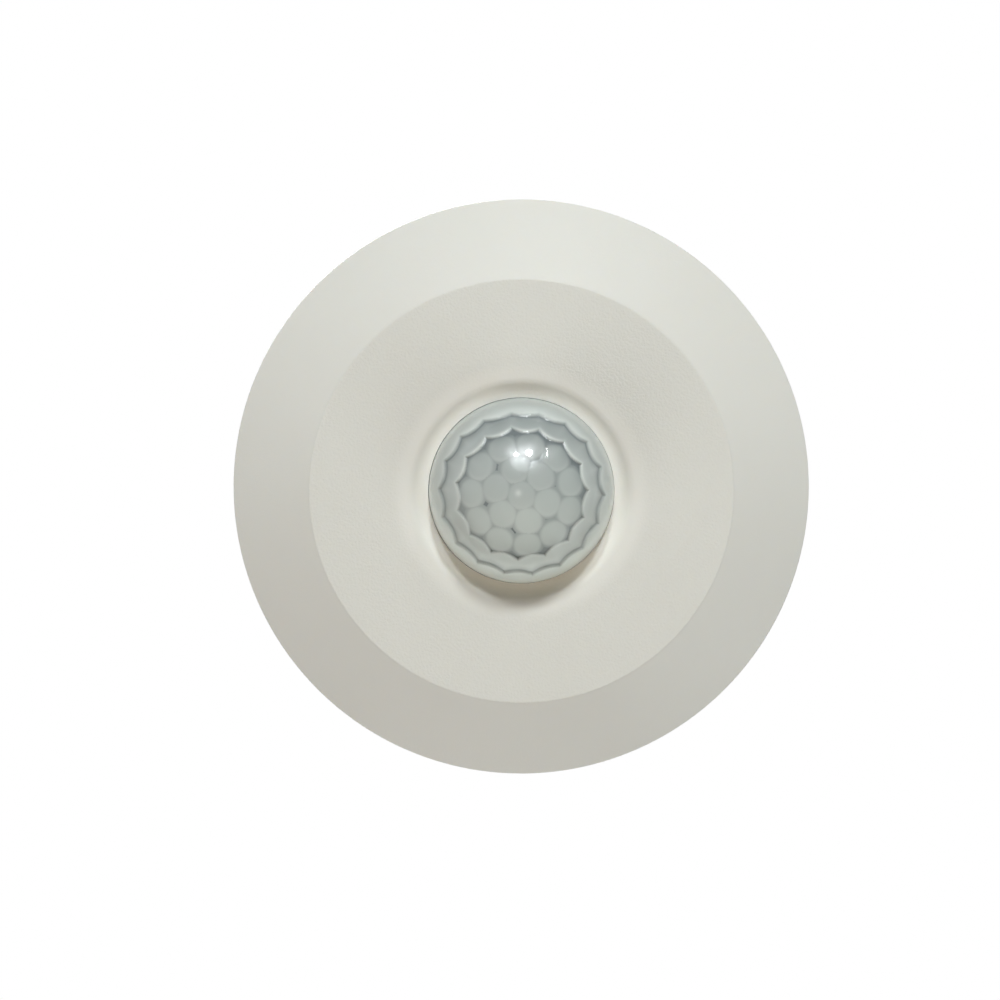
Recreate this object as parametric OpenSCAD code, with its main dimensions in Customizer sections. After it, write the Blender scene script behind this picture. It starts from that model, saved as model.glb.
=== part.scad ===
// Flush ceiling motion sensor. The ceiling plane is z = 0: the trim and lens hang below it, and the
// barrel, with its two sprung clips and the mains terminals, stands above it in the ceiling void.

/* [Trim] */
// Diameter of the round trim
trim_d = 78; // [74:1:84]
// Diameter at the crease between the bevel and the flat disc
crease_d = 57.1; // [55:0.1:60]
// How far the flat disc stands below the ceiling
trim_h = 9.8; // [9:0.1:11]
// Mouth of the shallow recess round the lens
recess_d = 30.6; // [30.4:0.1:31.4]
// Wall of the trim moulding
trim_wall = 1.8; // [1.5:0.1:2]

/* [Lens] */
// Outer diameter of the domed lens
lens_d = 25.3; // [24:0.1:26]
// Wall of the lens
lens_wall = 0.9; // [0.6:0.1:1.2]
// Depth of the dome's centre below the ceiling
lens_drop = 6.7; // [6.5:0.1:7]

/* [Barrel] */
// Diameter of the barrel, which goes through the hole in the ceiling
barrel_d = 62; // [60:0.5:64]
// Height of the barrel above the ceiling
barrel_h = 30; // [30:1:36]
// Height of the collar that centres the barrel in its hole
collar_h = 8; // [7:0.5:8]
// Wall of the barrel
barrel_wall = 2; // [1.8:0.1:2.2]
// Height of the terminal cover above the barrel
cover_h = 13; // [13:0.5:16]
// Diameter of the terminal cover
cover_d = 58; // [57:0.5:60]
// Bore of the cable inlet
inlet_d = 8.4; // [7:0.1:8.6]

/* [Clips] */
// Distance of each clip's hinge from the axis
hinge_x = 26.8; // [26.6:0.1:27]
// Height of the hinges above the ceiling
hinge_z = 23; // [22:0.5:24]
// Length of each arm from hinge to foot
arm_len = 21; // [20:0.1:21.4]
// Angle between a released arm and the barrel
arm_angle = 23; // [22:0.5:24]
// Thickness of the arm's strip
strip_t = 1; // [0.8:0.1:1.2]

/* [Hidden] */

$fn = 96;
eps = 0.01;

// Clearances
push_gap = 0.05;
turn_gap = 0.06;
free_gap = 0.3;

// Trim
trim_r = trim_d / 2;
crease_r = crease_d / 2;
recess_r = recess_d / 2;
rim_back = -0.2;
rim_edge = -1.2;
disc_back = -trim_h + trim_wall;
bevel_run = (trim_r - crease_r) / (trim_h + rim_edge);
bevel_wall = trim_wall * sqrt(1 + pow(bevel_run, 2));
lens_hole_r = lens_d / 2 + 0.15;
throat_wall = 1.4;
// The recess: the disc dips a little, turns over a lip to its steepest slope, then dishes to the lens
dip_r = 27;
dip_tilt = 4;
lip_r = 1.7;
lip_tilt = 45;
lip_end = recess_r - lip_r * (sin(lip_tilt) - sin(dip_tilt));
dish_r = 3.8;
dish_tilt = asin(sin(lip_tilt) - (lip_end - lens_hole_r) / dish_r);

// Front body
plate_front = -6.2;
plate_t = 2;
plate_back = plate_front + plate_t;
throat_z = plate_front - free_gap;
boss_r = 27.6;
boss_wall = 1.8;
flange_r = 34.4;
flange_t = 2.2;
spigot_h = 2.5;
rebate = 0.5;
rebate_r = barrel_d / 2 + 1;
skirt_wall = 1.2;
skirt_gap = 0.35;
skirt_end = -flange_t - free_gap;
skirt_in = boss_r + skirt_gap;
skirt_out = skirt_in + skirt_wall;
screw_ring = 22.3;
screw_angles = [90, 210, 330];
knob_ring = 20.5;
knob_angles = [240, 270, 300];
knob_r = 2.9;
knob_hole_r = 3.2;
// How far the knobs' faces stand inside the plate
knob_set = 0.2;

// Lens seat and detector, stacked from the plate to the board
lens_r = lens_d / 2;
seat_r = 14.3;
seat_t = 0.8;
board_front = -1.5;
board_t = 1.6;
board_back = board_front + board_t;
can_front = -6.5;
header_r = 4.6;

// Barrel, a little slimmer above its collar
barrel_r = barrel_d / 2;
upper_r = barrel_r - 0.4;
bore_r = barrel_r - barrel_wall;
rear_in = barrel_h - barrel_wall;
pocket_x = 24;
pocket_y = 6.5;
pocket_z = 10.5;
post_r = 2.9;
post_bore_r = 1.2;
power_front = barrel_h - 9;
power_back = power_front + board_t;
hang_x = [-13, 13];
hang_y = 21;

// Terminal chamber
cover_r = cover_d / 2;
cover_top = barrel_h + cover_h;
cover_flat = 23.5;
cover_wall = 2;
cover_screw_x = 18.5;
cover_post_top = cover_top - 6;
inlet_r = inlet_d / 2;
inlet_z = barrel_h + 5.8;
inlet_end = 30.5;
inlet_len = 5;
clamp_y = 18.5;
clamp_x = 9;
clamp_z = barrel_h + 3.5;
terminal_pitch = 7.5;
terminal_x = [-1.5, -0.5, 0.5, 1.5] * terminal_pitch;
terminal_top = barrel_h + 9;
terminal_w = 12;
terminal_l = 29.6;

// Clips
pin_r = 1;
pin_l = 2 * pocket_y + 3.8;
eye_r = 2.3;
cheek_y = 5.2;
cheek_t = 1;
foot_l = 2.6;
wire_r = 0.35;
coil_r = 1.85;
coil_turns = 6;
coil_half = 2.6;
anchor_z = hinge_z - 7.5;
anchor_x = pocket_x - 1.2;

// Moulded parts in warm white, boards and metal parts
white = "#e6e3d8";
grey = "#c9ccc9";
steel = "#b9bcc0";
black = "#26282b";
green = "#1d6b43";

module tube(outer, inner, low, high) {
    translate([0, 0, low])
        difference() {
            cylinder(r = outer, h = high - low);
            translate([0, 0, -1]) cylinder(r = inner, h = high - low + 2);
        }
}

module rod(r, low, high) {
    translate([0, 0, low]) cylinder(r = r, h = high - low);
}

module block(low, high) {
    translate(low) cube(high - low);
}

// Repeats its child at each angle on a circle about the axis
module around(ring, angles) {
    for (a = angles) rotate(a) translate([ring, 0, 0]) children();
}

// Pan head screw, its head below the origin and its shank rising from it
module pan_screw(head_r, head_h, shank_r, shank_l) {
    difference() {
        union() {
            rod(head_r, -head_h, 0);
            rod(shank_r, -eps, shank_l);
        }
        for (a = [0, 90]) rotate(a) {
            block([-head_r * 0.62, -0.35, -head_h - eps], [head_r * 0.62, 0.35, -head_h * 0.45]);
        }
    }
}

// --- Front ---------------------------------------------------------------------------------

function bevel_r(z) = crease_r + (z + trim_h) * bevel_run;
function bevel_z(r) = (r - crease_r) / bevel_run - trim_h;
function arc(cx, cz, r, from, to, steps) =
    [for (i = [0:steps]) let (a = from + (to - from) * i / steps) [cx + r * cos(a), cz + r * sin(a)]];

// Arc that starts at a point and turns from one tilt to another; a negative radius makes it hollow
function tilt_arc(start, r, from, to, steps) =
    [for (i = [1:steps]) let (a = from + (to - from) * i / steps)
        start + r * [sin(from) - sin(a), cos(from) - cos(a)]];

// Half section of the trim: rim, bevel, disc, recess and throat, then back along the inside, with the
// skirt that slides over the front body's boss
module bezel_section() {
    dip = [recess_r + dip_r * sin(dip_tilt), -trim_h];
    to_lip = tilt_arc(dip, dip_r, 0, dip_tilt, 3);
    to_dish = tilt_arc(to_lip[len(to_lip) - 1], lip_r, dip_tilt, lip_tilt, 6);
    to_lens = tilt_arc(to_dish[len(to_dish) - 1], -dish_r, lip_tilt, dish_tilt, 5);
    polygon(concat(
        [[trim_r, rim_back], [trim_r, rim_edge], [crease_r, -trim_h], dip],
        to_lip,
        to_dish,
        to_lens,
        [
            [lens_hole_r, throat_z],
            [lens_hole_r + throat_wall, throat_z],
            [lens_hole_r + throat_wall + 1.2, disc_back],
            [skirt_in, disc_back],
            [skirt_in, skirt_end],
            [skirt_out, skirt_end],
            [skirt_out, bevel_z(skirt_out + bevel_wall)],
            [bevel_r(-flange_t) - bevel_wall + 0.3, -flange_t],
            [trim_r - 2.3, rim_edge],
            [trim_r - 2.3, rim_back]
        ]
    ));
}

module bezel() {
    rib_n = 6;
    slot_half = 1.2;
    color(white) {
        difference() {
            rotate_extrude() bezel_section();
            // Slots that let the skirt flex
            for (i = [0:rib_n - 1]) {
                rotate((i + 0.5) * 360 / rib_n)
                    block([boss_r - 1, -slot_half, disc_back + 1.2], [skirt_out + 0.1, slot_half, 0]);
            }
        }
        // Ribs that grip the boss
        for (i = [0:rib_n - 1]) {
            rotate(i * 360 / rib_n)
                block([boss_r + push_gap, -0.6, disc_back - 0.5], [skirt_in + 0.4, 0.6, skirt_end - 0.3]);
        }
    }
}

module lens() {
    inner_r = lens_r - lens_wall;
    color(grey, 0.9) {
        difference() {
            union() {
                intersection() {
                    translate([0, 0, -lens_drop]) sphere(r = lens_r, $fn = 128);
                    rod(lens_r + 1, -lens_drop - lens_r - 1, -lens_drop);
                }
                rod(lens_r, -lens_drop, plate_back + seat_t);
                rod(seat_r, plate_back, plate_back + seat_t);
            }
            intersection() {
                translate([0, 0, -lens_drop]) sphere(r = inner_r, $fn = 128);
                rod(lens_r + 1, -lens_drop - lens_r - 1, -lens_drop);
            }
            rod(inner_r, -lens_drop, board_front);
        }
    }
}

module lens_retainer() {
    notch_n = 3;
    color(white) {
        difference() {
            tube(16.5, lens_r - lens_wall, plate_back + seat_t, board_front);
            for (i = [0:notch_n - 1]) rotate(30 + i * 360 / notch_n) block([15.2, -1.5, -9], [18, 1.5, 1]);
        }
    }
}

module front_body() {
    counterbore = 1.1;
    spigot_r = bore_r - 0.15;
    color(white) {
        difference() {
            union() {
                rod(boss_r, plate_front, 0);
                tube(flange_r, boss_r - 1, -flange_t, 0);
                tube(spigot_r, spigot_r - 1.1, -eps, spigot_h);
            }
            rod(boss_r - boss_wall, plate_back, 1);
            // Rebate that the barrel's edge sits in
            tube(rebate_r, spigot_r, -rebate, 1);
            rod(lens_r + 0.2, plate_front - 1, plate_back + 1);
            around(knob_ring, knob_angles) rod(knob_hole_r, plate_front - 1, plate_back + 1);
            around(screw_ring, screw_angles) {
                rod(1.6, plate_front - 1, plate_back + 1);
                rod(3, plate_front - 1, plate_front + counterbore);
            }
            // Notches of the spigot that clear the screw posts and the clip pockets
            for (a = [0, 180]) rotate(a) block([20, -9.5, eps], [32, 9.5, spigot_h + 1]);
        }
    }
}

module body_screws() {
    color(steel) {
        around(screw_ring, screw_angles)
            translate([0, 0, plate_front + 1.1]) pan_screw(2.7, 1.7, 1.15, 11);
    }
}

// --- Barrel --------------------------------------------------------------------------------

// Space that a clip folds into, open to the side and to the rear
module pocket_space(grow, bottom) {
    block([pocket_x - grow, -pocket_y - grow, bottom], [barrel_r + 2, pocket_y + grow, barrel_h + 1]);
}

module housing() {
    wall_x = pocket_x - barrel_wall;
    color(white) {
        difference() {
            union() {
                rotate_extrude() polygon([
                    [bore_r, -rebate], [barrel_r, -rebate], [barrel_r, collar_h], [upper_r, collar_h + 0.8],
                    [upper_r, barrel_h], [0, barrel_h], [0, rear_in], [bore_r, rear_in]
                ]);
                intersection() {
                    rod(upper_r, 0, barrel_h);
                    for (a = [0, 180]) rotate(a) pocket_space(barrel_wall, pocket_z - barrel_wall);
                }
                around(screw_ring, screw_angles) rod(post_r, plate_back, rear_in + eps);
                // Short posts that the power board hangs from
                for (x = hang_x) translate([x, hang_y, 0]) rod(2.4, power_back, rear_in + eps);
                // Posts of the terminal cover and of the cable clamp
                for (x = [-cover_screw_x, cover_screw_x]) {
                    translate([x, 0, 0]) rod(2.6, barrel_h - eps, cover_post_top);
                }
                for (x = [-clamp_x, clamp_x]) translate([x, clamp_y, 0]) rod(2.6, barrel_h - eps, clamp_z);
                // Saddle ribs under the cable
                for (y = [clamp_y - 2, clamp_y + 2]) {
                    block([-5, y - 0.5, barrel_h - eps], [5, y + 0.5, barrel_h + 1]);
                }
            }
            for (a = [0, 180]) rotate(a) {
                pocket_space(0, pocket_z);
                translate([hinge_x, 0, hinge_z]) rotate([90, 0, 0])
                    cylinder(r = pin_r, h = pin_l, center = true);
                translate([wall_x - 1, -coil_half, anchor_z]) rotate([0, 90, 0]) cylinder(r = 0.5, h = 4);
            }
            around(screw_ring, screw_angles) rod(post_bore_r, plate_back - 1, 8);
            for (x = hang_x) translate([x, hang_y, 0]) rod(0.9, power_back - 1, rear_in - 1);
            for (x = [-cover_screw_x, cover_screw_x]) {
                translate([x, 0, 0]) rod(1.1, barrel_h - 1, cover_top);
            }
            for (x = [-clamp_x, clamp_x]) translate([x, clamp_y, 0]) rod(1.1, barrel_h - 1, clamp_z + 1);
            // Window round the terminal block
            block([-terminal_l / 2 - 0.4, -terminal_w / 2 - 0.4, rear_in - 1],
                  [terminal_l / 2 + 0.4, terminal_w / 2 + 0.4, barrel_h + 1]);
        }
    }
}

module terminal_cover() {
    edge_r = 2.2;
    color(white) {
        difference() {
            union() {
                intersection() {
                    rotate_extrude() polygon(concat(
                        [[0, barrel_h], [cover_r, barrel_h]],
                        arc(cover_r - edge_r, cover_top - edge_r, edge_r, 0, 90, 8),
                        [[0, cover_top]]
                    ));
                    block([-cover_flat, -cover_r - 1, 0], [cover_flat, cover_r + 1, cover_top + 1]);
                }
                translate([0, inlet_end - inlet_len, inlet_z]) rotate([-90, 0, 0])
                    cylinder(r = inlet_r + 1.3, h = inlet_len);
            }
            difference() {
                intersection() {
                    rod(cover_r - cover_wall, barrel_h - 1, cover_top - cover_wall);
                    block([-cover_flat + cover_wall, -cover_r, 0],
                          [cover_flat - cover_wall, cover_r, cover_top]);
                }
                for (x = [-cover_screw_x, cover_screw_x]) {
                    translate([x, 0, 0]) rod(3.6, cover_post_top, cover_top);
                }
                translate([0, inlet_end - inlet_len, inlet_z]) rotate([-90, 0, 0])
                    cylinder(r = inlet_r + 1.3, h = inlet_len);
            }
            translate([0, inlet_end - inlet_len - 1, inlet_z]) rotate([-90, 0, 0])
                cylinder(r = inlet_r, h = inlet_len + 2);
            for (x = [-cover_screw_x, cover_screw_x]) translate([x, 0, 0]) {
                rod(1.5, cover_post_top - 1, cover_top + 1);
                rod(3, cover_top - 1.8, cover_top + 1);
            }
        }
    }
}

module cover_screws() {
    color(steel) {
        for (x = [-cover_screw_x, cover_screw_x])
            translate([x, 0, cover_top - 1.8]) rotate([180, 0, 0]) pan_screw(2.7, 1.6, 1.05, 9);
    }
}

module cable_clamp() {
    arch_in = 5;
    arch_out = 6.8;
    foot_t = 1.8;
    half_w = 2.5;
    color(white) {
        difference() {
            translate([0, clamp_y + half_w, clamp_z]) rotate([90, 0, 0]) linear_extrude(2 * half_w) {
                intersection() {
                    difference() {
                        circle(r = arch_out);
                        circle(r = arch_in);
                    }
                    translate([-arch_out, 0]) square([2 * arch_out, arch_out]);
                }
                for (s = [-1, 1]) translate([s * (clamp_x - 0.9) - 2.9, 0]) square([5.8 + eps, foot_t]);
            }
            for (x = [-clamp_x, clamp_x]) {
                translate([x, clamp_y, 0]) rod(1.4, clamp_z - 1, clamp_z + foot_t + 1);
            }
            block([-arch_in, clamp_y - 5, clamp_z - 1], [arch_in, clamp_y + 5, clamp_z + 1.9]);
        }
    }
}

module clamp_screws() {
    color(steel) {
        for (x = [-clamp_x, clamp_x])
            translate([x, clamp_y, clamp_z + 1.8]) rotate([180, 0, 0]) pan_screw(2.2, 1.5, 1.05, 5);
    }
}

// --- Clips ---------------------------------------------------------------------------------

// Puts its children, drawn for the clip at +X, at either side
module at_side(side) {
    rotate(side > 0 ? 0 : 180) children();
}

// Moves to the hinge and turns so that +X runs down the arm and +Y is its outer face
module along_arm() {
    translate([hinge_x, 0, hinge_z]) rotate([90, 0, 0]) rotate(arm_angle - 90) children();
}

module clip_arm(side) {
    color(steel) at_side(side) along_arm() {
        difference() {
            union() {
                for (z = [-cheek_y, cheek_y - cheek_t]) translate([0, 0, z]) linear_extrude(cheek_t) {
                    circle(r = eye_r);
                    polygon([
                        [0, -eye_r], [5, -eye_r], [11, -strip_t / 2], [11, strip_t / 2],
                        [5, strip_t / 2], [1.4, 1.8]
                    ]);
                }
                translate([3.6, -strip_t / 2, -cheek_y]) cube([arm_len - 3.6, strip_t, 2 * cheek_y]);
                translate([arm_len - strip_t / 2, 0, -cheek_y + 1.2]) rotate([0, 0, 90 - arm_angle])
                    translate([0, -strip_t / 2, 0]) cube([foot_l, strip_t, 2 * cheek_y - 2.4]);
            }
            translate([0, 0, -cheek_y - 1]) cylinder(r = pin_r + turn_gap, h = 2 * cheek_y + 2);
            // Keyhole that lightens the strip
            translate([9, strip_t, 0]) rotate([90, 0, 0]) cylinder(r = 1.5, h = 2 * strip_t);
        }
    }
}

module clip_pad(side) {
    pad_r = 1.5;
    half = cheek_y - 0.6;
    color(black) at_side(side) along_arm()
        translate([arm_len - strip_t / 2, 0, 0]) rotate([0, 0, 90 - arm_angle]) difference() {
            translate([0, 0, -half]) linear_extrude(2 * half) {
                for (x = [0.7, foot_l - 0.6]) translate([x, 0]) circle(r = pad_r);
                translate([0.7, -pad_r]) square([foot_l - 1.3, 2 * pad_r]);
            }
            translate([-2, -strip_t / 2, -half - 1]) cube([foot_l + 2, strip_t, 2 * half + 2]);
            // The strip of the arm where it enters the sleeve
            rotate([0, 0, arm_angle - 90]) translate([-4, -strip_t / 2, -half - 1])
                cube([4 + strip_t / 2, strip_t, 2 * half + 2]);
        }
}

module clip_pin(side) {
    color(steel) at_side(side) translate([hinge_x, 0, hinge_z]) rotate([90, 0, 0])
        cylinder(r = pin_r, h = pin_l, center = true);
}

// Centre line of the spring in the clip's plane: anchored leg, coil, then the leg on the arm
coil_end = arm_angle - 360 * coil_turns;
coil_steps = 20 * coil_turns + 9;
leg_l = 10;
spring_path = concat(
    [[anchor_x, -coil_half, anchor_z], [hinge_x - coil_r - 0.8, -coil_half, anchor_z]],
    [for (a = [300:30:360])
        [hinge_x - coil_r - 0.8 + 0.8 * cos(a), -coil_half, anchor_z + 0.8 + 0.8 * sin(a)]],
    [for (i = [0:coil_steps])
        let (t = i / coil_steps, a = 180 + (coil_end - 180) * t)
        [hinge_x + coil_r * cos(a), -coil_half + 2 * coil_half * t, hinge_z + coil_r * sin(a)]],
    [for (s = [4, leg_l])
        let (n = coil_r + (strip_t / 2 + wire_r + 0.02 - coil_r) * s / leg_l)
        [hinge_x + s * sin(arm_angle) + n * cos(arm_angle), coil_half,
         hinge_z - s * cos(arm_angle) + n * sin(arm_angle)]]
);

// Sweeps a round wire along points that stay nearly square to Y
module wire(path, r, sides) {
    n = len(path);
    function unit(v) = v / norm(v);
    function ring(i) =
        let (
            t = unit(path[min(i + 1, n - 1)] - path[max(i - 1, 0)]),
            u = unit([0, 1, 0] - t * t[1]),
            w = cross(t, u)
        )
        [for (k = [0:sides - 1]) path[i] + r * (cos(360 * k / sides) * u + sin(360 * k / sides) * w)];
    polyhedron(
        points = [for (i = [0:n - 1]) each ring(i)],
        faces = concat(
            [[for (k = [0:sides - 1]) sides - 1 - k]],
            [[for (k = [0:sides - 1]) (n - 1) * sides + k]],
            [for (i = [0:n - 2], k = [0:sides - 1])
                let (a = i * sides, b = a + sides, j = (k + 1) % sides) [a + k, a + j, b + j, b + k]]
        )
    );
}

module clip_spring(side) {
    color("#8f9296") at_side(side) wire(spring_path, wire_r, 8);
}

// --- Sensor board --------------------------------------------------------------------------

module sensor_board() {
    color(green) {
        difference() {
            rod(25.3, board_front, board_back);
            around(screw_ring, screw_angles) {
                rod(post_r + 0.3, board_front - 1, board_back + 1);
                block([0, -post_r - 0.3, board_front - 1], [6, post_r + 0.3, board_back + 1]);
            }
            around(1.8, [90, 210, 330]) rod(0.3, board_front - 1, board_back + 1);
        }
    }
}

module pir_holder() {
    color(black) {
        difference() {
            rod(header_r, board_front - 0.8, board_front);
            around(1.8, [90, 210, 330]) rod(0.3, board_front - 2, board_back);
        }
    }
}

module pir_header() {
    color("#c8a860") {
        rod(header_r, board_front - 1.4, board_front - 0.8);
        around(1.8, [90, 210, 330]) rod(0.24, board_front - 1, board_back + 1.2);
    }
}

module pir_can() {
    can_r = 4.15;
    can_wall = 0.25;
    color(steel) {
        difference() {
            rod(can_r, can_front, board_front - 1.4);
            rod(can_r - can_wall, can_front + can_wall, board_front);
            block([-2, -1.5, can_front - 1], [2, 1.5, can_front + 1]);
        }
    }
}

module pir_window() {
    color("#3a3440") block([-2.4, -1.9, can_front + 0.25], [2.4, 1.9, can_front + 0.65]);
}

module indicator_led() {
    color("#c9403a") translate([0, 8, 0]) {
        rod(1.5, -5, -3.2);
        intersection() {
            translate([0, 0, -5]) sphere(r = 1.5, $fn = 48);
            rod(2, -7, -5 + eps);
        }
        rod(1.8, -3.2, -2.6);
        for (x = [-1.27, 1.27]) translate([x * 0.8, 0, 0]) rod(0.25, -2.7, board_front);
    }
}

module light_cell() {
    color("#b8793c") translate([0, -8, 0]) {
        rod(2.5, -3.6, -2.1);
        for (x = [-1.5, 1.5]) translate([x, 0, 0]) rod(0.25, -2.2, board_front);
    }
}

trimmer_front = board_front - 2.4;

module trimmer_bodies() {
    color("#2c4f86") around(knob_ring, knob_angles) {
        difference() {
            block([-3, -3, trimmer_front], [3, 3, board_front]);
            rod(1 + turn_gap, trimmer_front - 1, board_front - 0.5);
        }
    }
}

module knob(angle) {
    front = plate_front + knob_set;
    color("#d8d4c6") rotate(angle) translate([knob_ring, 0, 0]) {
        difference() {
            union() {
                rod(knob_r, front, trimmer_front - 0.15);
                rod(1, trimmer_front - 0.2, board_front - 0.7);
            }
            block([-0.45, -2.3, front - 1], [0.45, 2.3, front + 1]);
            // Pointer end of the slot
            translate([0, 0, front - 1]) linear_extrude(2) polygon([[-1.1, 1.2], [1.1, 1.2], [0, 2.6]]);
        }
    }
}

module controller_chip() {
    lead_n = 7;
    color(black) {
        block([4.5, 3.2, board_back + 0.15], [13.2, 7.1, board_back + 1.6]);
        for (i = [0:lead_n - 1], s = [-1, 1]) translate([8.85 + (i - 3) * 1.27, 5.15 + s * 2.4, 0]) {
            block([-0.2, -0.6, board_back], [0.2, 0.6, board_back + 0.4]);
        }
    }
}

module board_resistors() {
    color("#3b3b3d") {
        for (i = [0:5]) translate([-15 + i * 4, 10.5, board_back]) cube([1.6, 3.2, 0.6]);
        for (i = [0:3]) translate([-14, -9 + i * 3.4, board_back]) cube([3.2, 1.6, 0.6]);
        for (i = [0:2]) translate([10, -14 + i * 3.4, board_back]) cube([3.2, 1.6, 0.6]);
    }
}

// --- Power board ---------------------------------------------------------------------------

lead_y = -5.5;
socket_h = 5;
socket_l = 9;

module lead_sockets() {
    color("#ece9df") {
        block([-socket_l / 2, lead_y - 2, board_back], [socket_l / 2, lead_y + 2, board_back + socket_h]);
        block([-socket_l / 2, lead_y - 2, power_front - socket_h], [socket_l / 2, lead_y + 2, power_front]);
    }
}

// Ribbon bowed in a half circle from one socket to the other
module sensor_lead() {
    low = board_back + socket_h;
    high = power_front - socket_h;
    mid_r = (high - low) / 2;
    ribbon_t = 0.9;
    wire_n = 6;
    pitch = 1.27;
    color("#9aa0a6") {
        for (i = [0:wire_n - 1]) {
            translate([(i - wire_n / 2) * pitch, lead_y, low + mid_r]) rotate([90, 0, 90])
                linear_extrude(pitch - 0.2) intersection() {
                    difference() {
                        circle(r = mid_r + ribbon_t / 2);
                        circle(r = mid_r - ribbon_t / 2);
                    }
                    translate([-2 * mid_r, -mid_r]) square([2 * mid_r, 2 * mid_r]);
                }
        }
        translate([-wire_n / 2 * pitch, lead_y - mid_r - 0.25, low + mid_r - 2])
            cube([wire_n * pitch - 0.2, 0.5, 4]);
    }
}

module power_board() {
    color(green) {
        difference() {
            intersection() {
                rod(28.2, power_front, power_back);
                block([-21.5, -30, 0], [21.5, 30, 40]);
            }
            around(screw_ring, screw_angles) {
                rod(post_r + 0.3, power_front - 1, power_back + 1);
                block([0, -post_r - 0.3, power_front - 1], [9, post_r + 0.3, power_back + 1]);
            }
            for (x = hang_x) translate([x, hang_y, 0]) rod(1.2, power_front - 1, power_back + 1);
        }
    }
}

module board_screws() {
    color(steel) for (x = hang_x) translate([x, hang_y, power_front]) pan_screw(2, 1.3, 0.85, 5.5);
}

module relay() {
    color("#1f4f9e") {
        block([-20, 1.8, power_front - 15.3], [-1, 16.8, power_front - 0.3]);
        for (x = [-18, -3], y = [4, 14.6]) translate([x, y, 0]) rod(0.5, power_front - 0.35, power_front);
    }
}

module dropper_capacitor() {
    color("#d9a521") {
        block([1.2, 2.5, power_front - 14.5], [19.2, 10.5, power_front - 0.4]);
        for (x = [2.7, 17.7]) translate([x, 6.5, 0]) rod(0.4, power_front - 0.5, power_front);
    }
}

module smoothing_capacitors() {
    can_r = 4;
    color("#2b2f45") for (x = [-5.5, 5.5]) translate([x, -17.3, 0]) {
        difference() {
            rod(can_r, power_front - 12, power_front - 0.5);
            tube(can_r + 1, can_r - 0.25, power_front - 2.6, power_front - 2);
            for (a = [0, 60, 120]) rotate(a) {
                block([-2.6, -0.15, power_front - 13], [2.6, 0.15, power_front - 11.7]);
            }
        }
        for (s = [-1.25, 1.25]) translate([s, 0, 0]) rod(0.3, power_front - 0.6, power_front);
    }
}

module choke() {
    color("#33302e") translate([14, -16, 0]) {
        rod(3.5, power_front - 1.6, power_front);
        rod(2.4, power_front - 7.4, power_front - 1.5);
        rod(3.5, power_front - 9, power_front - 7.4);
    }
}

module fuse() {
    cap_x = 4.6;
    color("#d9d2bf") translate([9.8, -10.2, power_front]) {
        translate([0, 0, -3.2]) rotate([0, 90, 0]) {
            cylinder(r = 2.2, h = 7.4, center = true);
            for (z = [-cap_x, cap_x]) translate([0, 0, z]) cylinder(r = 2.5, h = 2, center = true);
        }
        for (x = [-cap_x, cap_x]) block([x - 0.4, -0.5, -1.2], [x + 0.4, 0.5, 0]);
    }
}

module varistor() {
    color("#2f6fae") {
        translate([11, 15, power_front - 7]) rotate([90, 0, 0]) cylinder(r = 5, h = 3.4, center = true);
        for (x = [8.5, 13.5]) translate([x, 15, 0]) rod(0.4, power_front - 3.2, power_front);
    }
}

module rectifier_diodes() {
    color(black) for (i = [0:3]) translate([-11.2, -1.8 - 3.1 * i, power_front - 2.4]) {
        rotate([0, 90, 0]) {
            cylinder(r = 1.3, h = 5.2, center = true);
            cylinder(r = 0.4, h = 9.6, center = true);
        }
        for (x = [-4.4, 4.4]) translate([x, 0, 0]) rod(0.4, -0.4, 2.4);
    }
}

// --- Terminals -----------------------------------------------------------------------------

cage_top = terminal_top - 3.6;
cage_h = 6;
cage_w = 5.6;
cage_y = 6;
wire_z = cage_top - 3.2;

module terminal_block() {
    wire_hole_r = 1.9;
    color("#e9e6dc") {
        difference() {
            block([-terminal_l / 2, -terminal_w / 2, power_back],
                  [terminal_l / 2, terminal_w / 2, terminal_top]);
            for (x = terminal_x) translate([x, 0, 0]) {
                block([-cage_w / 2, -cage_y / 2, cage_top - cage_h], [cage_w / 2, cage_y / 2, cage_top]);
                rod(2.3, cage_top - 1, terminal_top + 1);
                translate([0, 0, wire_z]) rotate([-90, 0, 0]) cylinder(r = wire_hole_r, h = terminal_w);
                block([-2.3, terminal_w / 2 - 1.2, wire_z - 2.1], [2.3, terminal_w / 2 + 1, wire_z + 2.6]);
            }
        }
    }
}

module terminal_cages() {
    wall = 0.8;
    color("#c9b26a") for (x = terminal_x) translate([x, 0, 0]) {
        difference() {
            block([-cage_w / 2, -cage_y / 2, cage_top - cage_h], [cage_w / 2, cage_y / 2, cage_top]);
            block([-cage_w / 2 + wall, -cage_y, cage_top - cage_h + wall],
                  [cage_w / 2 - wall, cage_y, cage_top - wall * 1.5]);
            rod(1.3, cage_top - 2, cage_top + 1);
        }
    }
}

module terminal_screws() {
    color(steel) for (x = terminal_x) translate([x, 0, cage_top + 0.6]) {
        difference() {
            union() {
                rod(1.95, 0, 2);
                rod(1.25, -2.2, eps);
            }
            block([-1.6, -0.35, 1], [1.6, 0.35, 3]);
        }
    }
}

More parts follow.
